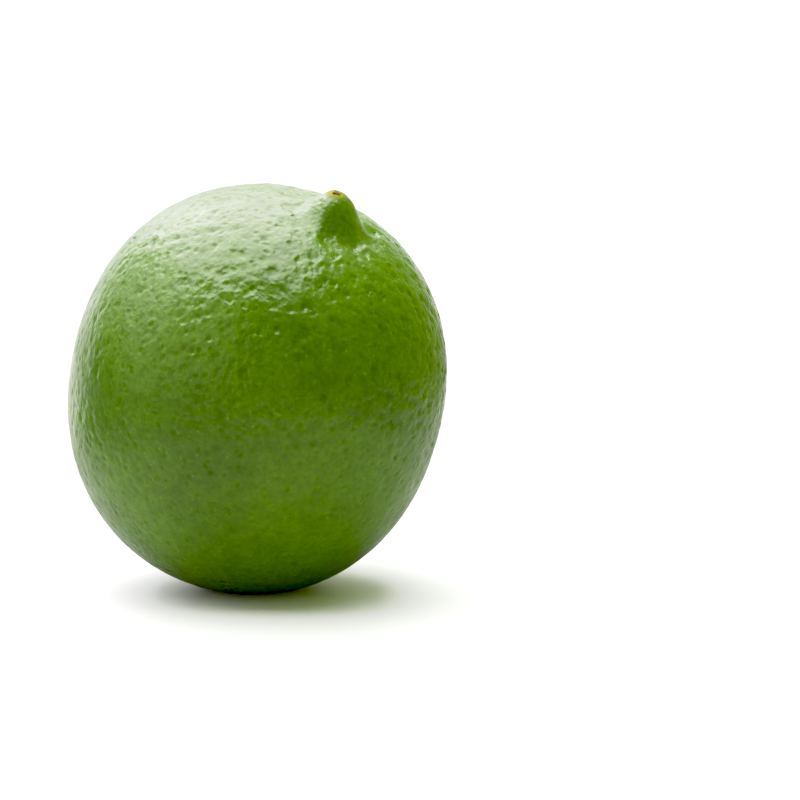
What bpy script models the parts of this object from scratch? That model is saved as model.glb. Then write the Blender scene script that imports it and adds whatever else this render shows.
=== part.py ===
"""A whole lime, resting at a slant with its blossom end up.

A lime grows in one piece, so it is one solid: a pitted peel with a leaning nipple at the
blossom end and, at the stem end, a shallow dimple that holds the five-lobed button. The fruit
leans forward and to its right, and rests on a small flat spot.
"""

from math import atan2, cos, exp, hypot, pi, radians, sin, sqrt, tau

import bmesh
import bpy
import numpy as np
from mathutils import Euler, Matrix, Vector
from mathutils.kdtree import KDTree

# Driving dimensions, in metres. The nipple points along +Z here, and leans towards -X.
DIAMETER = 0.0560
BLOSSOM_REACH = 0.0307
STEM_REACH = 0.0308
SQUARENESS = 2.20
BODY_TILT = radians(11)
NIPPLE_HEIGHT = 0.0039
NIPPLE_HALF_WIDTH = 0.0040
NIPPLE_ROUNDNESS = 2.9
NIPPLE_BLUNTNESS = 1.2
NIPPLE_LEAN = 0.45
FURROW_DEPTH = 0.0006
FURROW_RADIUS = 0.0054
FURROW_WIDTH = 0.0018
FURROW_SIDE = radians(-38)
WRINKLE_COUNT = 9
WRINKLE_HEIGHT = 0.00012
WRINKLE_RADIUS = 0.0064
WRINKLE_WIDTH = 0.0022
KNOB_HEIGHT = 0.0004
KNOB_REACH = 0.0061
KNOB_RADIUS = 0.0012
SCAR_RADIUS = 0.0007
SCAR_HEIGHT = 0.0003
SCAR_UNEVENNESS = 0.15
SCAR_EDGE = (0.9, 1.5)
DIMPLE_DEPTH = 0.0012
DIMPLE_RADIUS = 0.0052
DIMPLE_RIBS = 7
RIB_HEIGHT = 0.00022
RIB_ZONE = (0.004, 0.006, 0.012)
BUTTON_RADIUS = 0.0027
BUTTON_HEIGHT = 0.0008
BUTTON_LOBES = 5
LOBE_REACH = 0.13
STUB_RADIUS = 0.0012
STUB_HEIGHT = 0.0006
STUB_EDGE = (0.9, 1.3)
STUB_HOLLOW = 0.0003
HOLLOW_EDGE = (0.2, 0.8)
PIT_DEPTH = 0.00042
PIT_RADIUS = 0.0014
PIT_SHARE = 0.55
PIT_FREE_RADIUS = 0.005
FLAT_SPOT_RADIUS = 0.0062
LEAN_FORWARD = radians(21.2)
LEAN_RIGHT = radians(23.4)

# Points on a golden spiral, a share of them pits, and one more point between neighbours
SPIRAL_COUNT = 1190
END_CROWDING = 7.0
END_ANGLE = 0.17
SEED = 7
BUTTON_FOOT = 1.16
BUTTON_RINGS = (0.30, 0.56, 0.86, 1.0, BUTTON_FOOT, 1.45)
SCAR_RINGS = (0.6, 1.0, 1.5, 2.4)
BUTTON_POINTS = 6 * BUTTON_LOBES
SCAR_POINTS = 12
SPIRAL_START = 1.2
TOUCHING = 1e-6

RADIUS = DIAMETER / 2
GOLDEN_ANGLE = pi * (3 - sqrt(5))

PEEL_GREEN = (0.085, 0.215, 0.008)
BUTTON_OLIVE = (0.23, 0.20, 0.06)


def smooth_step(value, low, high):
    """0 below low, 1 above high and an even ramp between them."""
    share = min(1.0, max(0.0, (value - low) / (high - low)))
    return share * share * (3 - 2 * share)


def button_outline(turn):
    """The button's radius at an angle round the stem end: five rounded lobes."""
    return BUTTON_RADIUS * (1 + LOBE_REACH * cos(BUTTON_LOBES * turn))


def scar_outline(turn):
    """The style scar's radius at an angle round the nipple's tip: a slightly uneven disc."""
    return SCAR_RADIUS * (1 + SCAR_UNEVENNESS * cos(3 * turn + 1))


def spiral_directions():
    """Directions along a golden-angle spiral, evenly spaced and closer together at both ends."""
    polar = np.linspace(0, pi, 4001)
    ends = np.exp(-((polar / END_ANGLE) ** 2)) + np.exp(-(((pi - polar) / END_ANGLE) ** 2))
    share = np.cumsum(np.sin(polar) * (1 + END_CROWDING * ends))
    wanted = (np.arange(SPIRAL_COUNT) + 0.5) / SPIRAL_COUNT * share[-1]
    directions = []
    for index, angle in enumerate(np.interp(wanted, share, polar)):
        turn = index * GOLDEN_ANGLE
        last_ring = scar_outline(turn) * SCAR_RINGS[-1]
        if angle > pi / 2:
            last_ring = button_outline(turn) * BUTTON_RINGS[-1]
        if RADIUS * sin(angle) > last_ring * SPIRAL_START:
            directions.append(Vector((sin(angle) * cos(turn), sin(angle) * sin(turn), cos(angle))))
    return directions


def ring_directions(end, outline, rings, points):
    """The middle of one end, and staggered rings of directions round it that follow an outline."""
    directions = [Vector((0, 0, end))]
    for index, ring in enumerate(rings):
        for step in range(points):
            turn = tau * (step + index % 2 / 2) / points
            across = ring * outline(turn) / RADIUS
            along = end * sqrt(1 - across**2)
            directions.append(Vector((across * cos(turn), across * sin(turn), along)))
    return directions


def body_point(direction):
    """The smooth body: a squarish egg whose long axis is tilted away from the nipple."""
    tilted = Matrix.Rotation(BODY_TILT, 3, "Y") @ direction
    reach = BLOSSOM_REACH if tilted.z > 0 else STEM_REACH
    across = hypot(tilted.x, tilted.y)
    share = (across / RADIUS) ** SQUARENESS + (abs(tilted.z) / reach) ** SQUARENESS
    return direction * share ** (-1 / SQUARENESS)


def nipple_shift(across, turn):
    """What the blossom end adds: the leaning nipple and its style scar, in a wrinkled furrow."""
    roundness = NIPPLE_ROUNDNESS + NIPPLE_BLUNTNESS * cos(turn)
    lift = NIPPLE_HEIGHT * exp(-((across / NIPPLE_HALF_WIDTH) ** roundness))
    ring = exp(-(((across - FURROW_RADIUS) / FURROW_WIDTH) ** 2))
    furrow = FURROW_DEPTH * ring * (0.5 + 0.5 * cos(turn - FURROW_SIDE))
    outer_ring = exp(-(((across - WRINKLE_RADIUS) / WRINKLE_WIDTH) ** 2))
    wrinkle = WRINKLE_HEIGHT * outer_ring * cos(WRINKLE_COUNT * (turn - FURROW_SIDE))
    to_knob = across**2 + KNOB_REACH**2 - 2 * across * KNOB_REACH * cos(turn - FURROW_SIDE)
    knob = KNOB_HEIGHT * exp(-to_knob / KNOB_RADIUS**2)
    scar = SCAR_HEIGHT * (1 - smooth_step(across / scar_outline(turn), *SCAR_EDGE))
    return Vector((-NIPPLE_LEAN * lift, 0, lift + wrinkle + knob - furrow + scar))


def stem_shift(across, turn):
    """What the stem end adds: a ribbed dimple, the lobed button in it and the stem's stub."""
    dimple = DIMPLE_DEPTH * exp(-((across / DIMPLE_RADIUS) ** 2))
    rib = RIB_HEIGHT * cos(DIMPLE_RIBS * turn) * smooth_step(across, *RIB_ZONE[:2])
    rib *= 1 - smooth_step(across, *RIB_ZONE[1:])
    button = BUTTON_HEIGHT * (1 - smooth_step(across / button_outline(turn), 1.0, BUTTON_FOOT))
    stub = STUB_HEIGHT * (1 - smooth_step(across / STUB_RADIUS, *STUB_EDGE))
    hollow = STUB_HOLLOW * (1 - smooth_step(across / STUB_RADIUS, *HOLLOW_EDGE))
    return Vector((0, 0, dimple - rib - button - stub + hollow))


def peel_point(direction, pit):
    """Where a direction from the fruit's centre meets the finished peel, pit metres deep."""
    point = body_point(direction)
    across = hypot(point.x, point.y)
    turn = atan2(point.y, point.x)
    point -= direction * (pit * smooth_step(across, PIT_FREE_RADIUS, 2 * PIT_FREE_RADIUS))
    if direction.z > 0:
        return point + nipple_shift(across, turn)
    return point + stem_shift(across, turn)


def peel_mesh():
    """The closed peel in the fruit's own frame, with the faces of the button marked."""
    spiral = spiral_directions()
    rings = ring_directions(-1, button_outline, BUTTON_RINGS, BUTTON_POINTS)
    rings += ring_directions(1, scar_outline, SCAR_RINGS, SCAR_POINTS)
    draws = np.random.default_rng(SEED)
    depths = draws.uniform(0.6, 1.0, len(spiral)) * PIT_DEPTH
    depths[draws.random(len(spiral)) > PIT_SHARE] = 0
    nearest = KDTree(len(spiral))
    for index, direction in enumerate(spiral):
        nearest.insert(direction, index)
    nearest.balance()
    mesh = bmesh.new()
    for direction in spiral + rings:
        mesh.verts.new(direction)
    hull = bmesh.ops.convex_hull(mesh, input=mesh.verts[:])
    bmesh.ops.delete(mesh, geom=hull["geom_unused"], context="VERTS")
    bmesh.ops.subdivide_edges(mesh, edges=mesh.edges[:], cuts=1, use_grid_fill=True)
    for vertex in mesh.verts:
        direction = vertex.co.normalized()
        _, index, distance = nearest.find(direction)
        pit = depths[index] * (1 - smooth_step(distance * RADIUS, 0.0, PIT_RADIUS))
        vertex.co = peel_point(direction, pit)
    for face in mesh.faces:
        middle = face.calc_center_median()
        across = hypot(middle.x, middle.y)
        turn = atan2(middle.y, middle.x)
        if middle.z < 0 and across < button_outline(turn) * BUTTON_FOOT:
            face.material_index = 1
    return mesh


def set_down(mesh):
    """Leans the fruit, presses the flat spot it rests on and puts the box's foot at the origin."""
    lean = Euler((LEAN_FORWARD, LEAN_RIGHT, 0), "ZYX").to_matrix().to_4x4()
    bmesh.ops.transform(mesh, matrix=lean, verts=mesh.verts)
    table = min(vertex.co.z for vertex in mesh.verts) + FLAT_SPOT_RADIUS**2 / DIAMETER
    for vertex in mesh.verts:
        vertex.co.z = max(vertex.co.z, table)
    pressed = [face for face in mesh.faces if face.calc_center_median().z < table + TOUCHING]
    bmesh.ops.dissolve_faces(mesh, faces=pressed)
    xs = [vertex.co.x for vertex in mesh.verts]
    ys = [vertex.co.y for vertex in mesh.verts]
    foot = Vector(((min(xs) + max(xs)) / 2, (min(ys) + max(ys)) / 2, table))
    bmesh.ops.transform(mesh, matrix=Matrix.Translation(-foot), verts=mesh.verts)


def finish(name, colour, roughness):
    """A plain Principled material."""
    material = bpy.data.materials.new(name)
    material.use_nodes = True
    shader = material.node_tree.nodes["Principled BSDF"]
    shader.inputs["Base Color"].default_value = (*colour, 1)
    shader.inputs["Roughness"].default_value = roughness
    return material


def make_lime(collection):
    """The one object: the whole fruit."""
    mesh = peel_mesh()
    set_down(mesh)
    bmesh.ops.recalc_face_normals(mesh, faces=mesh.faces)
    data = bpy.data.meshes.new("lime")
    mesh.to_mesh(data)
    mesh.free()
    data.materials.append(finish("lime_peel", PEEL_GREEN, 0.35))
    data.materials.append(finish("stem_button", BUTTON_OLIVE, 0.7))
    data.shade_smooth()
    lime = bpy.data.objects.new("lime", data)
    collection.objects.link(lime)


def main():
    for leftover in list(bpy.data.objects):
        bpy.data.objects.remove(leftover)
    collection = bpy.data.collections.new("Lime")
    bpy.context.scene.collection.children.link(collection)
    make_lime(collection)


main()
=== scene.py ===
"""A whole lime, resting at a slant on a pale table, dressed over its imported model.

The lime is its pitted peel, the button that the stem leaves at the lower end, and the small
brown scar on the tip of the nipple. Sizes are in metres, with +Z up and -Y towards the viewer.
"""

from math import cos, pi, radians, sin, sqrt

import bmesh
import bpy
import numpy as np
from bpy.props import FloatProperty, FloatVectorProperty, IntProperty, PointerProperty
from mathutils import Euler, Matrix, Vector, noise
from mathutils.kdtree import KDTree


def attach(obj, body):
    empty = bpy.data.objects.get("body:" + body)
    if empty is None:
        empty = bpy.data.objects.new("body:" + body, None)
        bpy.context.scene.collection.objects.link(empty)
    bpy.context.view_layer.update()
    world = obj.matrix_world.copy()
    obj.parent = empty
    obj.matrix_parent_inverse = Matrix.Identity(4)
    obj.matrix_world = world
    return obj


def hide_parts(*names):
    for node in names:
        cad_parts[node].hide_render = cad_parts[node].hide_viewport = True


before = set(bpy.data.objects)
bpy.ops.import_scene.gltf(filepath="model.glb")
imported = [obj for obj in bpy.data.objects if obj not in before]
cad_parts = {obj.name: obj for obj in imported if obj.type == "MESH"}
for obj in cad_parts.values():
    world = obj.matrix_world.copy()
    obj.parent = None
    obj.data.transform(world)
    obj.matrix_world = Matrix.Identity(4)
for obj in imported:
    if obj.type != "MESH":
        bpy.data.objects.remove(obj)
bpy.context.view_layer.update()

bl_info = {
    "name": "Whole Lime",
    "version": (1, 0, 0),
    "blender": (4, 5, 0),
    "location": "3D View > Sidebar > Lime",
    "description": "A lime with a pitted waxy peel, a stem button and a style scar",
    "category": "Object",
}

NODE = "lime"
BODY = "root"
LENGTH = {"subtype": "DISTANCE", "unit": "LENGTH", "precision": 5}
ANGLE = {"subtype": "ANGLE", "unit": "ROTATION"}
COLOUR = {"subtype": "COLOR", "size": 3, "min": 0.0, "max": 1.0}


# Sizes and colours


class LimeForm(bpy.types.PropertyGroup):
    """The fruit's own shape, with its nipple along +Z before it leans."""

    diameter: FloatProperty(
        name="Diameter", description="Width of the body", default=0.0560, **LENGTH
    )
    blossom_reach: FloatProperty(
        name="Blossom Reach", description="Centre to the blossom end", default=0.0307, **LENGTH
    )
    stem_reach: FloatProperty(
        name="Stem Reach", description="Centre to the stem end", default=0.0308, **LENGTH
    )
    squareness: FloatProperty(
        name="Squareness", description="2 is an ellipsoid, more has fuller shoulders", default=2.20
    )
    body_tilt: FloatProperty(
        name="Body Tilt", description="Long axis away from the nipple", default=radians(11), **ANGLE
    )
    lean_forward: FloatProperty(
        name="Lean Forward", description="Nipple towards the viewer", default=radians(21.2), **ANGLE
    )
    lean_right: FloatProperty(
        name="Lean Right", description="Nipple towards +X", default=radians(23.4), **ANGLE
    )
    centre_height: FloatProperty(
        name="Centre Height", description="Centre above the table", default=0.03025, **LENGTH
    )


class LimeNipple(bpy.types.PropertyGroup):
    """The nipple at the blossom end, the furrow and hollow by it and the scar on its tip."""

    height: FloatProperty(name="Height", description="Above the body", default=0.0039, **LENGTH)
    half_width: FloatProperty(
        name="Half Width", description="At a third up", default=0.0040, **LENGTH
    )
    roundness: FloatProperty(name="Roundness", description="More has a flatter tip", default=2.9)
    bluntness: FloatProperty(
        name="Bluntness", description="Rounder still on the +X side", default=1.2
    )
    lean: FloatProperty(name="Lean", description="Sideways for each unit of height", default=0.45)
    furrow_depth: FloatProperty(
        name="Furrow Depth", description="At its deepest", default=0.0006, **LENGTH
    )
    furrow_radius: FloatProperty(
        name="Furrow Radius", description="Nipple's middle to the furrow", default=0.0054, **LENGTH
    )
    furrow_width: FloatProperty(
        name="Furrow Width", description="Half of it", default=0.0018, **LENGTH
    )
    furrow_side: FloatProperty(
        name="Furrow Side", description="Where it is deepest", default=radians(-38), **ANGLE
    )
    wrinkles: IntProperty(name="Wrinkles", description="Round the furrow", default=9, min=0)
    wrinkle_height: FloatProperty(
        name="Wrinkle Height", description="Height", default=0.00012, **LENGTH
    )
    wrinkle_radius: FloatProperty(
        name="Wrinkle Radius",
        description="Nipple's middle to the wrinkles",
        default=0.0064,
        **LENGTH,
    )
    wrinkle_width: FloatProperty(
        name="Wrinkle Width", description="Half of it", default=0.0022, **LENGTH
    )
    knob_height: FloatProperty(
        name="Knob Height", description="Past the furrow", default=0.0004, **LENGTH
    )
    knob_reach: FloatProperty(
        name="Knob Reach", description="Nipple's middle to the knob", default=0.0061, **LENGTH
    )
    knob_radius: FloatProperty(name="Knob Radius", description="Radius", default=0.0012, **LENGTH)
    hollow_depth: FloatProperty(
        name="Hollow Depth", description="At its deepest", default=0.00050, **LENGTH
    )
    hollow_reach: FloatProperty(
        name="Hollow Reach", description="Nipple's middle to the hollow", default=0.0050, **LENGTH
    )
    hollow_radius: FloatProperty(
        name="Hollow Radius", description="Radius", default=0.0026, **LENGTH
    )
    hollow_side: FloatProperty(
        name="Hollow Side", description="Where the hollow lies", default=radians(-165), **ANGLE
    )
    scar_radius: FloatProperty(
        name="Scar Radius", description="On the tip", default=0.0006, **LENGTH
    )
    scar_colour: FloatVectorProperty(
        name="Scar Colour", description="Dry brown", default=(0.19, 0.14, 0.045), **COLOUR
    )
    rim_colour: FloatVectorProperty(
        name="Rim Colour", description="Round the scar", default=(0.17, 0.15, 0.002), **COLOUR
    )


class LimeStemEnd(bpy.types.PropertyGroup):
    """The ribbed dimple at the stem end and the button in it."""

    dimple_depth: FloatProperty(name="Dimple Depth", description="Depth", default=0.0012, **LENGTH)
    dimple_radius: FloatProperty(
        name="Dimple Radius", description="Radius", default=0.0052, **LENGTH
    )
    ribs: IntProperty(name="Ribs", description="Round the dimple", default=7, min=0)
    rib_height: FloatProperty(name="Rib Height", description="Height", default=0.00022, **LENGTH)
    button_radius: FloatProperty(
        name="Button Radius", description="Radius", default=0.0027, **LENGTH
    )
    button_height: FloatProperty(
        name="Button Height", description="Height", default=0.0008, **LENGTH
    )
    lobes: IntProperty(name="Lobes", description="Of the button", default=5, min=1)
    lobe_reach: FloatProperty(name="Lobe Reach", description="Share of the radius", default=0.13)
    stub_radius: FloatProperty(
        name="Stub Radius", description="Where the stem was", default=0.0012, **LENGTH
    )
    stub_height: FloatProperty(name="Stub Height", description="Height", default=0.0006, **LENGTH)
    button_colour: FloatVectorProperty(
        name="Button Colour", description="Dry olive", default=(0.12, 0.11, 0.035), **COLOUR
    )


class LimePeel(bpy.types.PropertyGroup):
    """The pits and the waxy green of the peel."""

    pit_count: IntProperty(name="Pits", description="Over the whole fruit", default=4400, min=0)
    pit_radius: FloatProperty(name="Pit Radius", description="Radius", default=0.00047, **LENGTH)
    pit_depth: FloatProperty(name="Pit Depth", description="Deepest pit", default=0.00019, **LENGTH)
    pebble_height: FloatProperty(
        name="Pebble Height", description="Of the swellings between pits", default=0.00009, **LENGTH
    )
    deep_green: FloatVectorProperty(
        name="Deep Green", description="Darkest mottling", default=(0.039, 0.094, 0.003), **COLOUR
    )
    fresh_green: FloatVectorProperty(
        name="Fresh Green",
        description="Lightest mottling",
        default=(0.068, 0.144, 0.005),
        **COLOUR,
    )
    freckle_green: FloatVectorProperty(
        name="Freckle Green", description="Tiny pale freckles", default=(0.15, 0.24, 0.01), **COLOUR
    )
    gloss: FloatProperty(
        name="Roughness", description="Of the wax", default=0.32, min=0.0, max=1.0
    )


class LimeStage(bpy.types.PropertyGroup):
    """The camera's place and aim."""

    camera_distance: FloatProperty(
        name="Camera Distance", description="From the fruit", default=0.45, **LENGTH
    )
    camera_elevation: FloatProperty(
        name="Camera Elevation", description="Above level", default=radians(8), **ANGLE
    )
    lens: FloatProperty(name="Lens", description="Focal length in millimetres", default=135.0)
    aim_right: FloatProperty(
        name="Aim Right", description="Photo's middle right of the fruit", default=0.0214, **LENGTH
    )
    aim_down: FloatProperty(
        name="Aim Down", description="Photo's middle under the centre", default=0.0016, **LENGTH
    )


# The fruit's shape

PEEL_CUTS = 124  # across each side of the cube that is blown up to the peel
CHART_SHARE = 0.485  # half of what a side fills of its sixth of the map, which leaves a margin
FAR_OFF = 1.0  # the lower half counts as this far from the tip

# A pit strays from its even place by a share of the spacing, and varies in width and depth.
PIT_SEED = 11
PIT_STRAY = 0.34
PIT_WIDTHS = (0.65, 1.35)
PIT_DEPTHS = (0.15, 1.0)
SHALLOW_PITS = 1.5  # more makes most pits shallower
PITS_THAT_MEET = 3  # how many pits near a point can deepen it

# Two sizes of swelling, in waves for each radius of the fruit, and how strong each is.
FINE_PEBBLES = 27.0
BROAD_PEBBLES = 12.0
PEBBLE_SHARE = 0.8
PEBBLE_SHIFT = Vector((3.0, 1.0, 2.0))

# The relief is calm at both ends, and stronger on the upper half than on the lower.
TIP_CALM = (0.0012, 0.0042)
STEM_CALM = (0.003, 0.005)
CALM_RELIEF = 0.25
LOWER_GRAIN = 0.62
UPPER_GRAIN = 0.46  # on top of the lower half's
GRAIN_HEIGHTS = (-0.004, 0.020)

# Where the ribs round the stem's dimple come up and where they fade out.
RIBS_RISE = (0.004, 0.006)
RIBS_FADE = (0.006, 0.012)

# The button: a unit ball pushed out to a lobed disc, with creases between and a hollow stub.
BUTTON_CUTS = (80, 48)
BUTTON_SPREAD = 0.55  # less brings more points out to the edge
BUTTON_FLATNESS = 0.35  # less gives a flatter face
BUTTON_BACK = 0.0004  # how far it reaches into the dimple
EDGE_WAVER, EDGE_WAVES = 0.05, 2.5
CREASE_HEIGHT, CREASE_REACH = 0.00012, (0.0013, 0.0022)
STUB_EDGE = (0.75, 1.25)  # in shares of the stub's radius
STUB_HOLLOW, STUB_HOLLOW_EDGE = 0.0004, (0.25, 0.75)
BUTTON_LUMPS, BUTTON_LUMP_WAVES = 0.00010, 6.0

# The scar: a thin three-cornered cushion with an uneven edge.
SCAR_CUTS = (40, 20)
SCAR_CORNERS = 3
SCAR_CORNER_REACH = 0.15
SCAR_WAVER, SCAR_WAVES = 0.08, 4
SCAR_LUMPS, SCAR_LUMP_WAVES = 0.00014, 3
SCAR_LUMP_SHIFT = Vector((1, 2, 3))
SCAR_THICKNESS = 0.00022


def smooth_step(values, low, high):
    """0 below low, 1 above high and a smooth ramp between them."""
    share = np.clip((values - low) / (high - low), 0.0, 1.0)
    return share * share * (3 - 2 * share)


def lean_matrix(form):
    """Turns the fruit's own frame into its resting slant on the table."""
    lean = Euler((form.lean_forward, form.lean_right, 0), "ZYX").to_matrix().to_4x4()
    return Matrix.Translation((0, 0, form.centre_height)) @ lean


def body_points(directions, form):
    """Where directions from the centre meet the smooth body, a squarish egg."""
    tilt = np.array(Matrix.Rotation(form.body_tilt, 3, "Y"))
    tilted = directions @ tilt.T
    reach = np.where(tilted[:, 2] > 0, form.blossom_reach, form.stem_reach)
    across = np.hypot(tilted[:, 0], tilted[:, 1]) / (form.diameter / 2)
    share = across**form.squareness + (np.abs(tilted[:, 2]) / reach) ** form.squareness
    return directions * (share ** (-1 / form.squareness))[:, None]


def end_reach(form, way):
    """The body's reach from its centre straight up, 1, or straight down, -1."""
    return abs(body_points(np.array([[0.0, 0.0, way]]), form)[0, 2])


def nipple_shift(across, turn, nipple):
    """How far the blossom end rises and leans: the nipple in its wrinkled furrow."""
    roundness = nipple.roundness + nipple.bluntness * np.cos(turn)
    lift = nipple.height * np.exp(-((across / nipple.half_width) ** roundness))
    from_furrow = turn - nipple.furrow_side
    ring = np.exp(-(((across - nipple.furrow_radius) / nipple.furrow_width) ** 2))
    furrow = nipple.furrow_depth * ring * (0.5 + 0.5 * np.cos(from_furrow))
    outer_ring = np.exp(-(((across - nipple.wrinkle_radius) / nipple.wrinkle_width) ** 2))
    wrinkle = nipple.wrinkle_height * outer_ring * np.cos(nipple.wrinkles * from_furrow)
    to_knob = away(across, turn, nipple.knob_reach, nipple.furrow_side)
    knob = nipple.knob_height * np.exp(-to_knob / nipple.knob_radius**2)
    to_hollow = away(across, turn, nipple.hollow_reach, nipple.hollow_side)
    hollow = nipple.hollow_depth * np.exp(-to_hollow / nipple.hollow_radius**2)
    rise = lift + wrinkle + knob - furrow - hollow
    return np.stack([-nipple.lean * lift, 0 * lift, rise], axis=1)


def away(across, turn, reach, side):
    """The squared distance to a spot that lies at a reach and a side from the middle."""
    return across**2 + reach**2 - 2 * across * reach * np.cos(turn - side)


def stem_shift(across, turn, stem_end):
    """How far the stem end sinks: a dimple with shallow ribs round it."""
    dimple = stem_end.dimple_depth * np.exp(-((across / stem_end.dimple_radius) ** 2))
    rib = stem_end.rib_height * np.cos(stem_end.ribs * turn) * smooth_step(across, *RIBS_RISE)
    rib = rib * (1 - smooth_step(across, *RIBS_FADE))
    return np.stack([0 * dimple, 0 * dimple, dimple - rib], axis=1)


def pit_field(directions, peel, radius):
    """How deep each direction lies in a pit, from 0 to 1, for pits scattered evenly."""
    draws = np.random.default_rng(PIT_SEED)
    step = np.arange(peel.pit_count) + 0.5
    polar = np.arccos(1 - 2 * step / peel.pit_count)
    turn = step * pi * (3 - sqrt(5))  # the golden angle from each pit to the next
    pits = np.stack([np.sin(polar) * np.cos(turn), np.sin(polar) * np.sin(turn), np.cos(polar)], 1)
    pits += draws.normal(0.0, PIT_STRAY * sqrt(4 * pi / peel.pit_count), pits.shape)
    pits /= np.linalg.norm(pits, axis=1)[:, None]
    widths = peel.pit_radius * draws.uniform(*PIT_WIDTHS, len(pits)) / radius
    depths = draws.uniform(*PIT_DEPTHS, len(pits)) ** SHALLOW_PITS
    nearest = KDTree(len(pits))
    for index, pit in enumerate(pits):
        nearest.insert(pit, index)
    nearest.balance()
    field = np.zeros(len(directions))
    for place, direction in enumerate(directions):
        for _, index, distance in nearest.find_n(direction, PITS_THAT_MEET):
            field[place] += depths[index] * np.exp(-((distance / widths[index]) ** 2))
    return np.minimum(field, 1.0)


def pebble_field(directions):
    """The soft swellings between pits, from about -1 to 1."""
    return np.array(
        [
            PEBBLE_SHARE * noise.noise(Vector(direction) * FINE_PEBBLES)
            + PEBBLE_SHARE * noise.noise(Vector(direction) * BROAD_PEBBLES + PEBBLE_SHIFT)
            for direction in directions
        ]
    )


def cube_ball(cuts):
    """A cube cut into even squares, as a mesh, and the places of its points on the cube."""
    ball = bmesh.new()
    bmesh.ops.create_cube(ball, size=2)
    bmesh.ops.subdivide_edges(ball, edges=ball.edges[:], cuts=cuts, use_grid_fill=True)
    mesh = bpy.data.meshes.new("peel")
    ball.to_mesh(mesh)
    ball.free()
    cube = np.empty(len(mesh.vertices) * 3)
    mesh.vertices.foreach_get("co", cube)
    return mesh, cube.reshape(-1, 3)


def six_charts(mesh, cube):
    """Lays each side of the cube in its own sixth of the peel's map."""
    corners = np.empty(len(mesh.loops), dtype=int)
    mesh.loops.foreach_get("vertex_index", corners)
    places = cube[corners].reshape(-1, 4, 3)
    middles = places.mean(axis=1)
    axis = np.abs(middles).argmax(axis=1)
    side = np.take_along_axis(middles, axis[:, None], 1)[:, 0] > 0
    across = np.take_along_axis(places, ((axis + 1) % 3)[:, None, None], 2)[..., 0]
    along = np.take_along_axis(places, ((axis + 2) % 3)[:, None, None], 2)[..., 0]
    u = (axis[:, None] + 0.5 + across * CHART_SHARE) / 3
    v = (side[:, None] + 0.5 + along * CHART_SHARE) / 2
    chart = mesh.uv_layers.new(name="OFBake")
    chart.data.foreach_set("uv", np.stack([u, v], axis=2).ravel())


def store(mesh, name, values):
    """Keeps one number for each point of the peel, for its finish to read."""
    layer = mesh.attributes.new(name, "FLOAT", "POINT")
    layer.data.foreach_set("value", values)


def button_point(place, stem_end, foot):
    """Where a point of a unit ball goes on the button: a lobed disc with a hollow stub."""
    turn = np.arctan2(place.y, place.x)
    flat = sqrt(place.x**2 + place.y**2)
    outline = stem_end.button_radius * (1 + stem_end.lobe_reach * cos(stem_end.lobes * turn))
    outline *= 1 + EDGE_WAVER * noise.noise(Vector((cos(turn), sin(turn), 0.3)) * EDGE_WAVES)
    out = flat**BUTTON_SPREAD * outline
    if place.z > 0:
        return Vector((out * cos(turn), out * sin(turn), -foot + BUTTON_BACK * place.z))
    rise = stem_end.button_height * abs(place.z) ** BUTTON_FLATNESS
    crease = CREASE_HEIGHT * cos(stem_end.lobes * 2 * turn) * smooth_step(out, *CREASE_REACH)
    stub = stem_end.stub_height * (1 - smooth_step(out / stem_end.stub_radius, *STUB_EDGE))
    hollow = STUB_HOLLOW * (1 - smooth_step(out / stem_end.stub_radius, *STUB_HOLLOW_EDGE))
    lump = BUTTON_LUMPS * noise.noise(Vector((place.x, place.y, 0.0)) * BUTTON_LUMP_WAVES)
    return Vector(
        (out * cos(turn), out * sin(turn), -(foot + rise + crease + stub - hollow + lump))
    )


def scar_point(place, nipple, top):
    """Where a point of a unit ball goes on the scar, which the nipple's lean carries aside."""
    turn = np.arctan2(place.y, place.x)
    uneven = 1 + SCAR_CORNER_REACH * cos(SCAR_CORNERS * turn + 1)
    uneven += SCAR_WAVER * noise.noise(place * SCAR_WAVES)
    lump = SCAR_LUMPS * noise.noise(place * SCAR_LUMP_WAVES + SCAR_LUMP_SHIFT)
    return Vector(
        (
            place.x * nipple.scar_radius * uneven - nipple.lean * nipple.height,
            place.y * nipple.scar_radius * uneven,
            top + place.z * SCAR_THICKNESS + lump,
        )
    )


def shaped_ball(name, cuts, form, shape):
    """A unit ball with each point moved to its place on the fruit, leaned with the fruit."""
    ball = bmesh.new()
    bmesh.ops.create_uvsphere(ball, u_segments=cuts[0], v_segments=cuts[1], radius=1)
    # A new ball's faces come in another order at each run, so they are sorted by their corners.
    ball.verts.index_update()
    count = len(ball.verts)
    ball.faces.sort(key=lambda face: face.verts[0].index * count + face.verts[1].index)
    for vertex in ball.verts:
        vertex.co = shape(vertex.co)
    bmesh.ops.transform(ball, matrix=lean_matrix(form), verts=ball.verts)
    bmesh.ops.recalc_face_normals(ball, faces=ball.faces)
    mesh = bpy.data.meshes.new(name)
    ball.to_mesh(mesh)
    ball.free()
    return mesh


def new_piece(name, mesh, material):
    """An object of the lime that rides on its body."""
    mesh.materials.append(material)
    mesh.shade_smooth()
    piece = bpy.data.objects.new(name, mesh)
    bpy.context.scene.collection.objects.link(piece)
    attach(piece, BODY)
    return piece


# Finishes

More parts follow.
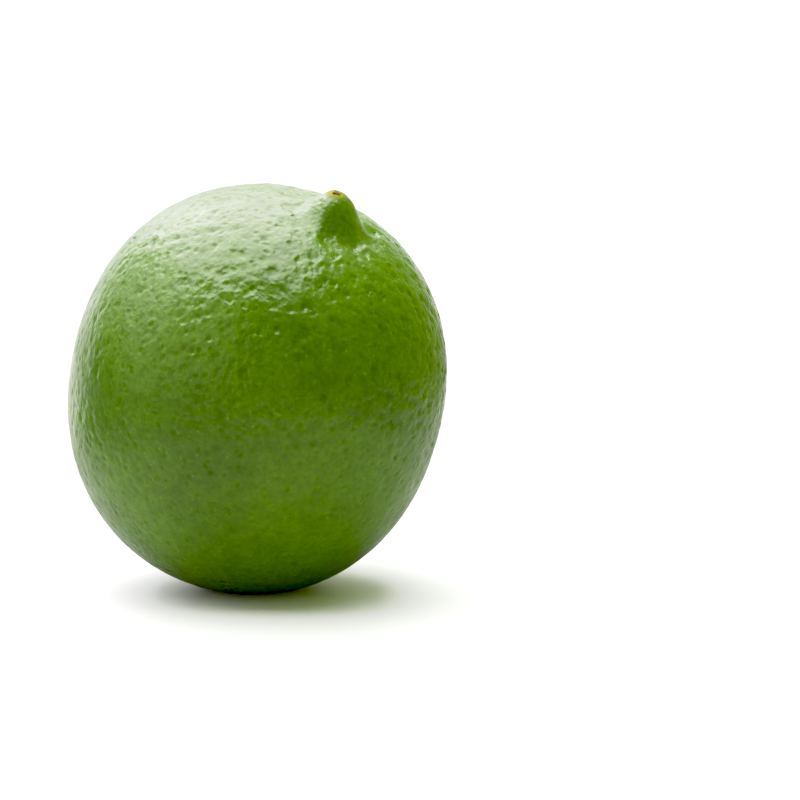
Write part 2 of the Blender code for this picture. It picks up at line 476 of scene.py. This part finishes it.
# The peel's patterns: waves or cells to the metre, and the levels between which each comes up.
BROAD_MOTTLE, BROAD_LEVELS = 45.0, (0.36, 0.66)
WAX_WAVES, WAX_LEVELS = 160.0, (0.3, 0.7)
FINE_MOTTLE, FINE_LEVELS = 420.0, (0.3, 0.7)
DIMPLES, DIMPLE_LEVELS = 640.0, (0.05, 0.45)
FRECKLES, FRECKLE_LEVELS, FRECKLE_CHANCE = 880.0, (0.08, 0.24), (0.35, 0.75)
DOMES, DOME_LEVELS = 1250.0, (0.0, 0.8)
CLOUDS, CLOUD_LEVELS = 1500.0, (0.35, 0.65)
DUST = 2600.0

# How much each pattern shows in the colour.
BROAD_SHARE = 0.65  # of the mottling, the rest being fine
DARKEST = 0.45  # of the deep green
# Painted shade in the pits: how far the deepest pit's green goes towards the darkest green.
PIT_PAINTED_SHADE = 0.30
FRECKLE_SHARE = 0.40
CLOUD_SHARE = 0.25

# The brown rim at the scar: its ragged edge, its colour, its dryness and its faint shine.
RIM_RAGGEDNESS = 0.0008
RIM_COLOURED, RIM_SHARE = (0.0013, 0.0021), 0.9
RIM_DRY, RIM_ROUGHNESS = (0.0013, 0.0024), 0.35
RIM_DULL, RIM_SHINE, WAX_SHINE = (0.0013, 0.0026), 0.12, 0.5

# The wax: how its roughness varies, and what is left of its shine in pits and dimples.
WAX_SMOOTHER, WAX_ROUGHER = 0.05, 0.07
WAX_IOR = 1.47
WAX_TINT = (1.0, 1.0, 0.95, 1)
DULL_PITS, PIT_SHINE = (0.10, 0.80), 0.70
DULL_DIMPLES, DIMPLE_SHINE = (0.0, 0.7), 0.50

# The heights of the grain that is too fine for the mesh.
DIMPLE_DEPTH = 0.00008
DOME_HEIGHT = 0.00004
DUST_HEIGHT = 0.00003

# Dry plant skin, with the button's and the scar's patches to the metre.
BUTTON_PATCHES = 900.0
SCAR_PATCHES = 1800.0
PATCH_LEVELS = (0.35, 0.7)
DRY_DARKEST = 0.4
DRY_ROUGHNESS = 0.75
CRACKS_TO_PATCHES = 1.6
CRACK_DEPTH = 0.00008

MIX_SOCKETS = {"FLOAT": (2, 3, 0), "RGBA": (6, 7, 2)}  # both inputs, then the output


class Wiring:
    """The nodes of a material or of the surroundings, and the links between them."""

    def __init__(self, owner):
        owner.use_nodes = True
        self.nodes = owner.node_tree.nodes
        self.links = owner.node_tree.links

    def add(self, kind, **settings):
        """A new node of a kind, with its settings."""
        node = self.nodes.new("ShaderNode" + kind)
        for name, value in settings.items():
            setattr(node, name, value)
        return node

    def feed(self, socket, value):
        """Links an output to a socket, or sets a plain value."""
        if isinstance(value, bpy.types.NodeSocket):
            self.links.new(value, socket)
        else:
            socket.default_value = value

    def ramp(self, value, levels, start=0.0, end=1.0):
        """Start below the lower level, end above the higher one and smooth between them."""
        node = self.add("MapRange", interpolation_type="SMOOTHSTEP")
        for socket, number in zip(node.inputs[:5], (value, *levels, start, end)):
            self.feed(socket, number)
        return node.outputs["Result"]

    def maths(self, operation, first, second):
        """The sum or product of two values."""
        node = self.add("Math", operation=operation)
        self.feed(node.inputs[0], first)
        self.feed(node.inputs[1], second)
        return node.outputs["Value"]

    def mix(self, share, first, second, kind="RGBA"):
        """A blend of two colours, or of two numbers if the kind is FLOAT."""
        node = self.add("Mix", data_type=kind)
        start, end, result = MIX_SOCKETS[kind]
        self.feed(node.inputs["Factor"], share)
        self.feed(node.inputs[start], first)
        self.feed(node.inputs[end], second)
        return node.outputs[result]


class Finish(Wiring):
    """A procedural finish: a Principled shader and the patterns that feed it."""

    def __init__(self, name):
        self.material = bpy.data.materials.new(name)
        super().__init__(self.material)
        self.shader = self.nodes["Principled BSDF"]
        self.place = self.add("TexCoord").outputs["Object"]

    def give(self, quality, value):
        """Feeds one of the shader's own sockets."""
        self.feed(self.shader.inputs[quality], value)

    def noise(self, scale, detail=2.0):
        """Soft clouds, with so many waves to the metre."""
        node = self.add("TexNoise")
        self.feed(node.inputs["Scale"], scale)
        self.feed(node.inputs["Detail"], detail)
        self.feed(node.inputs["Vector"], self.place)
        return node.outputs["Fac"]

    def cells(self, scale):
        """The distance from the middle of each cell, and the cell's own chance value."""
        node = self.add("TexVoronoi")
        self.feed(node.inputs["Scale"], scale)
        self.feed(node.inputs["Vector"], self.place)
        return node.outputs["Distance"], node.outputs["Color"]

    def attribute(self, name):
        """The number that the mesh keeps under a name."""
        return self.add("Attribute", attribute_name=name).outputs["Fac"]

    def bump(self, height, distance, under=None):
        """Fine relief, over what is already under it."""
        node = self.add("Bump")
        self.feed(node.inputs["Distance"], distance)
        self.feed(node.inputs["Height"], height)
        if under is not None:
            self.feed(node.inputs["Normal"], under)
        return node.outputs["Normal"]


def opaque(colour, share=1.0):
    """A colour, or a darker share of it, as a node takes it."""
    return (*(share * part for part in colour), 1)


def peel_finish(peel, nipple):
    """Waxy mottled green with fine grain, and a dry brown rim at the scar."""
    finish = Finish("waxy_peel")
    ragged = finish.maths("MULTIPLY", finish.noise(CLOUDS), RIM_RAGGEDNESS)
    rim = finish.maths("ADD", finish.attribute("from_tip"), ragged)
    dimples = finish.ramp(finish.cells(DIMPLES)[0], DIMPLE_LEVELS)
    green = mottled_green(finish, peel)
    coloured = finish.ramp(rim, RIM_COLOURED, RIM_SHARE, 0.0)
    finish.give("Base Color", finish.mix(coloured, green, opaque(nipple.rim_colour)))
    smoother, rougher = peel.gloss - WAX_SMOOTHER, peel.gloss + WAX_ROUGHER
    wax = finish.ramp(finish.noise(WAX_WAVES), WAX_LEVELS, smoother, rougher)
    dry = finish.ramp(rim, RIM_DRY, RIM_ROUGHNESS, 0.0)
    finish.give("Roughness", finish.maths("ADD", wax, dry))
    in_pits = finish.ramp(finish.attribute("pit"), DULL_PITS, 1.0, PIT_SHINE)
    in_dimples = finish.ramp(dimples, DULL_DIMPLES, DIMPLE_SHINE, 1.0)
    shade = finish.maths("MULTIPLY", in_pits, in_dimples)
    shine = finish.ramp(rim, RIM_DULL, RIM_SHINE, WAX_SHINE)
    finish.give("Specular IOR Level", finish.maths("MULTIPLY", shine, shade))
    finish.give("IOR", WAX_IOR)
    finish.give("Specular Tint", WAX_TINT)
    finish.give("Normal", fine_grain(finish, dimples))
    return finish.material


def mottled_green(finish, peel):
    """Broad and fine mottling, painted shade in the pits, darker tiny clouds and pale freckles."""
    broad = finish.ramp(finish.noise(BROAD_MOTTLE, detail=3.0), BROAD_LEVELS)
    fine = finish.ramp(finish.noise(FINE_MOTTLE, detail=3.0), FINE_LEVELS)
    broad = finish.maths("MULTIPLY", broad, BROAD_SHARE)
    fine = finish.maths("MULTIPLY", fine, 1 - BROAD_SHARE)
    mottle = finish.maths("ADD", broad, fine)
    green = finish.mix(mottle, opaque(peel.deep_green), opaque(peel.fresh_green))
    dark = opaque(peel.deep_green, DARKEST)
    # Painted shade: the green darkens with the depth of each pit.
    pits = finish.maths("MULTIPLY", finish.attribute("pit"), PIT_PAINTED_SHADE)
    green = finish.mix(pits, green, dark)
    middle, chance = finish.cells(FRECKLES)
    middle = finish.ramp(middle, FRECKLE_LEVELS, 1.0, 0.0)
    freckles = finish.maths("MULTIPLY", middle, finish.ramp(chance, FRECKLE_CHANCE))
    freckles = finish.maths("MULTIPLY", freckles, FRECKLE_SHARE)
    green = finish.mix(freckles, green, opaque(peel.freckle_green))
    clouds = finish.ramp(finish.noise(CLOUDS), CLOUD_LEVELS, 0.0, CLOUD_SHARE)
    return finish.mix(clouds, green, dark)


def fine_grain(finish, dimples):
    """Dimples, small domes and dust, the first two as strong as the mesh's own relief."""
    grain = finish.attribute("grain")
    domes = finish.ramp(finish.cells(DOMES)[0], DOME_LEVELS, 1.0, 0.0)
    relief = finish.bump(finish.maths("MULTIPLY", dimples, grain), DIMPLE_DEPTH)
    relief = finish.bump(finish.maths("MULTIPLY", domes, grain), DOME_HEIGHT, under=relief)
    return finish.bump(finish.noise(DUST), DUST_HEIGHT, under=relief)


def dry_finish(name, colour, patches):
    """Dry plant skin: uneven, matt and a little cracked."""
    finish = Finish(name)
    light = finish.ramp(finish.noise(patches, detail=4.0), PATCH_LEVELS)
    finish.give("Base Color", finish.mix(light, opaque(colour, DRY_DARKEST), opaque(colour)))
    finish.give("Roughness", DRY_ROUGHNESS)
    cracks = finish.noise(patches * CRACKS_TO_PATCHES, detail=3.0)
    finish.give("Normal", finish.bump(cracks, CRACK_DEPTH))
    return finish.material


# The stage

TABLE_SIDES, TABLE_RADIUS, TABLE_MIDDLE = 96, 0.12, (0.025, 0.02, 0)
TABLE_WHITE = (0.76, 0.76, 0.76, 1)
MIRRORED_TABLE = (0.27, 0.27, 0.27, 1)
TABLE_ROUGHNESS = 0.6

# The softboxes: name, place, the point each faces, width and height, and brightness.
FRUIT_MIDDLE = (0, 0, 0.03)
SOFT_LIGHTS = (
    ("overhead", (-0.20, 0.28, 0.80), (-0.20, 0.28, 0.0), (1.04, 1.35), 8.9),
    ("left", (-0.75, 0.07, 0.50), FRUIT_MIDDLE, (0.6, 0.4), 3.0),
    ("left_back", (-0.50, 0.80, 0.62), FRUIT_MIDDLE, (0.60, 0.50), 2.4),
    ("left_front", (-0.47, -0.34, 0.24), FRUIT_MIDDLE, (0.95, 0.7), 0.98),
)

# The surroundings: the levels of a direction between which each part of them changes, and its
# strength below and above those levels.
GLOW_DIRECTION = (-0.25, 0.96, 0.1)
BACK_GLOW = ((0.70, 0.95), 0.0, 2.05)
LOW_BAND = ((0.15, 0.45), 0.30, 0.06)
RIGHT_SIDE = ((0.25, 0.75), 0.0, 1.0)
RIGHT_BRIGHTNESS, RIGHT_COLOUR = 1.2, (0.55, 0.75, 0.1, 1)
WHITE = (1, 1, 1, 1)
BACKDROP_BRIGHTNESS = 2.0

# The picture's tones: its blackest and whitest light, and how bright it gets in between.
BLACK = (0.014, 0.014, 0.029)
WHITEST = (1.6, 1.6, 1.6)
ALL_CHANNELS = 3
TONES = (
    (0.124, 0.200),
    (0.249, 0.400),
    (0.342, 0.530),
    (0.400, 0.605),
    (0.465, 0.675),
    (0.560, 0.745),
    (0.690, 0.820),
    (0.840, 0.910),
)


def table_paint():
    """Matt white paint that shows only faintly as a reflection in the fruit's peel."""
    material = bpy.data.materials.new("pale_table")
    paint = Wiring(material)
    shader = paint.nodes["Principled BSDF"]
    mirrored = paint.add("LightPath").outputs["Is Glossy Ray"]
    paint.feed(shader.inputs["Base Color"], paint.mix(mirrored, TABLE_WHITE, MIRRORED_TABLE))
    paint.feed(shader.inputs["Roughness"], TABLE_ROUGHNESS)
    return material


def soft_light(name, place, facing, size, brightness):
    """A softbox that faces a point; its brightness is that of its surface."""
    light = bpy.data.lights.new(name, "AREA")
    light.shape = "RECTANGLE"
    light.size, light.size_y = size
    light.energy = brightness * pi * size[0] * size[1]
    lamp = bpy.data.objects.new(name, light)
    lamp.location = place
    lamp.rotation_euler = (Vector(facing) - Vector(place)).to_track_quat("-Z", "Y").to_euler()
    bpy.context.scene.collection.objects.link(lamp)


def daylight(scene):
    """White surroundings: bright behind, dim high up, and a green glow at the fruit's right."""
    scene.world = bpy.data.worlds.new("white_room")
    room = Wiring(scene.world)
    where = room.add("TexCoord").outputs["Generated"]
    towards = room.add("VectorMath", operation="DOT_PRODUCT")
    room.feed(towards.inputs[0], where)
    room.feed(towards.inputs[1], GLOW_DIRECTION)
    parts = room.add("SeparateXYZ")
    room.feed(parts.inputs["Vector"], where)
    glow = room.ramp(towards.outputs["Value"], *BACK_GLOW)
    band = room.ramp(parts.outputs["Z"], *LOW_BAND)
    right = room.ramp(parts.outputs["X"], *RIGHT_SIDE)
    white = room.maths("ADD", glow, band)
    light = room.nodes["Background"]
    room.feed(light.inputs["Strength"], room.mix(right, white, RIGHT_BRIGHTNESS, "FLOAT"))
    room.feed(light.inputs["Color"], room.mix(right, WHITE, RIGHT_COLOUR))
    backdrop = room.add("Background")
    room.feed(backdrop.inputs["Color"], WHITE)
    room.feed(backdrop.inputs["Strength"], BACKDROP_BRIGHTNESS)
    seen = room.add("MixShader")
    room.feed(seen.inputs["Fac"], room.add("LightPath").outputs["Is Camera Ray"])
    room.feed(seen.inputs[1], light.outputs["Background"])
    room.feed(seen.inputs[2], backdrop.outputs["Background"])
    room.feed(room.nodes["World Output"].inputs["Surface"], seen.outputs["Shader"])


def soft_whites(view):
    """The picture's tones: deep darks, and whites that come up slowly."""
    view.view_transform = "Standard"
    view.use_curve_mapping = True
    mapping = view.curve_mapping
    mapping.black_level = BLACK
    mapping.white_level = WHITEST
    curve = mapping.curves[ALL_CHANNELS]
    for light, tone in TONES:
        curve.points.new(light, tone)
    mapping.update()


def camera_for(stage, form):
    """The photo's camera: nearly level, aimed right of the fruit."""
    eye = bpy.data.cameras.new("camera")
    eye.lens = stage.lens
    camera = bpy.data.objects.new("camera", eye)
    bpy.context.scene.collection.objects.link(camera)
    forward = Vector((0, cos(stage.camera_elevation), -sin(stage.camera_elevation)))
    up = Vector((0, sin(stage.camera_elevation), cos(stage.camera_elevation)))
    aim = Vector((stage.aim_right, 0, form.centre_height)) - up * stage.aim_down
    camera.location = aim - forward * stage.camera_distance
    camera.rotation_euler = forward.to_track_quat("-Z", "Y").to_euler()
    return camera


# Operators


class LIME_OT_peel(bpy.types.Operator):
    """Grow the whole peel with its pits, nipple and dimple"""

    bl_idname = "lime.peel"
    bl_label = "Peel"

    def execute(self, context):
        form, nipple = context.scene.lime_form, context.scene.lime_nipple
        stem_end, peel = context.scene.lime_stem_end, context.scene.lime_peel
        mesh, cube = cube_ball(PEEL_CUTS)
        directions = np.tan(cube * pi / 4)
        directions /= np.linalg.norm(directions, axis=1)[:, None]
        points = body_points(directions, form)
        across = np.hypot(points[:, 0], points[:, 1])
        turn = np.arctan2(points[:, 1], points[:, 0])
        upper = points[:, 2] > 0
        ends = np.where(upper, smooth_step(across, *TIP_CALM), smooth_step(across, *STEM_CALM))
        pits = pit_field(directions, peel, form.diameter / 2)
        relief = peel.pebble_height * pebble_field(directions) - peel.pit_depth * pits
        calm = CALM_RELIEF + (1 - CALM_RELIEF) * ends
        grain = LOWER_GRAIN + UPPER_GRAIN * smooth_step(points[:, 2], *GRAIN_HEIGHTS)
        points += directions * (grain * relief * calm)[:, None]
        points += np.where(
            upper[:, None],
            nipple_shift(across, turn, nipple),
            stem_shift(across, turn, stem_end),
        )
        # Each point's share of pit depth, which the finish turns into painted shade and a dimmer
        # shine.
        store(mesh, "pit", grain * pits * ends)
        store(mesh, "grain", grain)
        store(mesh, "from_tip", np.where(upper, across, FAR_OFF))
        lean = np.array(lean_matrix(form))
        points = points @ lean[:3, :3].T + lean[:3, 3]
        points[:, 2] = np.maximum(points[:, 2], 0.0)
        mesh.vertices.foreach_set("co", points.ravel())
        six_charts(mesh, cube)
        piece = new_piece("peel", mesh, peel_finish(peel, nipple))
        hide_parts(NODE)
        return {"FINISHED"}


class LIME_OT_stem_button(bpy.types.Operator):
    """Set the lobed button with the stem's stub into the dimple"""

    bl_idname = "lime.stem_button"
    bl_label = "Stem Button"

    def execute(self, context):
        form, stem_end = context.scene.lime_form, context.scene.lime_stem_end
        foot = end_reach(form, -1.0) - stem_end.dimple_depth
        mesh = shaped_ball(
            "stem_button", BUTTON_CUTS, form, lambda place: button_point(place, stem_end, foot)
        )
        dry = dry_finish("dry_button", stem_end.button_colour, BUTTON_PATCHES)
        new_piece("stem_button", mesh, dry)
        return {"FINISHED"}


class LIME_OT_style_scar(bpy.types.Operator):
    """Leave the dry scar of the style on the nipple's tip"""

    bl_idname = "lime.style_scar"
    bl_label = "Style Scar"

    def execute(self, context):
        form, nipple = context.scene.lime_form, context.scene.lime_nipple
        top = end_reach(form, 1.0) + nipple.height
        mesh = shaped_ball(
            "style_scar", SCAR_CUTS, form, lambda place: scar_point(place, nipple, top)
        )
        dry = dry_finish("dry_scar", nipple.scar_colour, SCAR_PATCHES)
        new_piece("style_scar", mesh, dry)
        return {"FINISHED"}


class LIME_OT_stage(bpy.types.Operator):
    """Lay the pale table, hang the soft lights and place the camera"""

    bl_idname = "lime.stage"
    bl_label = "Stage"

    def execute(self, context):
        scene = context.scene
        bpy.ops.mesh.primitive_circle_add(
            vertices=TABLE_SIDES, radius=TABLE_RADIUS, fill_type="NGON", location=TABLE_MIDDLE
        )
        table = context.object
        table.name = "table"
        table.data.materials.append(table_paint())
        for light in SOFT_LIGHTS:
            soft_light(*light)
        daylight(scene)
        soft_whites(scene.view_settings)
        scene.camera = camera_for(scene.lime_stage, scene.lime_form)
        return {"FINISHED"}


# Panel and registration


class LIME_PT_panel(bpy.types.Panel):
    """Lists the lime's pieces and their sizes"""

    bl_label = "Whole Lime"
    bl_idname = "LIME_PT_panel"
    bl_space_type = "VIEW_3D"
    bl_region_type = "UI"
    bl_category = "Lime"

    def draw(self, context):
        for operator in OPERATORS:
            self.layout.operator(operator.bl_idname)
        for group_name in GROUPS:
            group = getattr(context.scene, group_name)
            box = self.layout.box()
            for name in group.bl_rna.properties.keys():
                if name not in {"rna_type", "name"}:
                    box.prop(group, name)


GROUPS = {
    "lime_form": LimeForm,
    "lime_nipple": LimeNipple,
    "lime_stem_end": LimeStemEnd,
    "lime_peel": LimePeel,
    "lime_stage": LimeStage,
}
OPERATORS = (LIME_OT_peel, LIME_OT_stem_button, LIME_OT_style_scar, LIME_OT_stage)


def register():
    """Makes the sizes, the operators and the panel known to Blender."""
    for name, group in GROUPS.items():
        bpy.utils.register_class(group)
        setattr(bpy.types.Scene, name, PointerProperty(type=group))
    for operator in OPERATORS:
        bpy.utils.register_class(operator)
    bpy.utils.register_class(LIME_PT_panel)


def unregister():
    """Takes back all that register made known."""
    bpy.utils.unregister_class(LIME_PT_panel)
    for operator in reversed(OPERATORS):
        bpy.utils.unregister_class(operator)
    for name, group in GROUPS.items():
        delattr(bpy.types.Scene, name)
        bpy.utils.unregister_class(group)


def main():
    """Builds the lime and its stage."""
    register()
    bpy.ops.lime.peel()
    bpy.ops.lime.stem_button()
    bpy.ops.lime.style_scar()
    bpy.ops.lime.stage()


if __name__ == "__main__":
    main()
